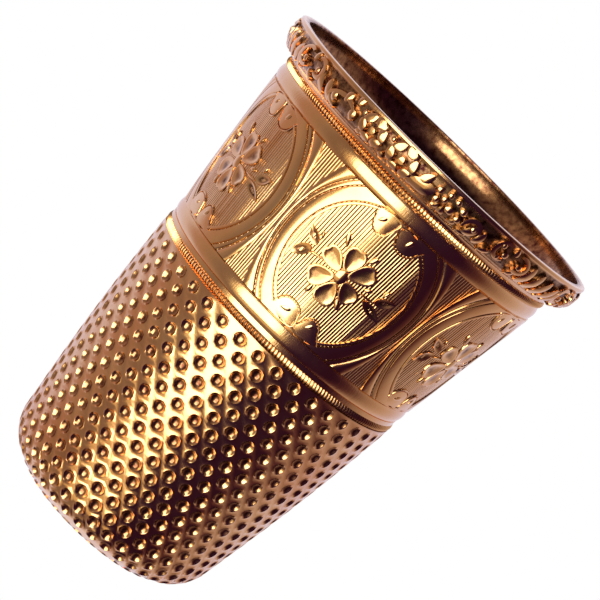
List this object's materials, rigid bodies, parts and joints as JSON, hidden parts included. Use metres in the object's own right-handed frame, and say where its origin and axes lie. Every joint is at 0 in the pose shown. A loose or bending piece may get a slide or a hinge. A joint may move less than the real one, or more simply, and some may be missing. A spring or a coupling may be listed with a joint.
{
  "type": "sewing thimble",
  "caption": "Tapered gold thimble with a dimpled wall and domed crown, an engraved band between half-round and milled wires, and a flared chased collar at the mouth.",
  "frame": {"origin": "middle of the mouth, in the plane of the lip that the thimble stands on", "axes": "+Z along the thimble's axis, from the mouth to the crown; +X and +Y in the plane of the lip"},
  "size_m": [0.0186, 0.0186, 0.0251],
  "materials": {
    "polished_gold": "polished",
    "chased_gold": "chased and polished",
    "engraved_gold": "engraved and polished",
    "body_gold": "knurled with round dimples, polished"
  },
  "bodies": {
    "root": {"lip_wire": "polished_gold", "rim_collar": "chased_gold", "rim_milled_wire": "polished_gold", "rim_bead": "polished_gold", "engraved_band": "engraved_gold", "waist_bead": "polished_gold", "waist_milled_wire": "polished_gold", "thimble_body": "body_gold", "crown_cap": "body_gold"}
  },
  "joints": []
}
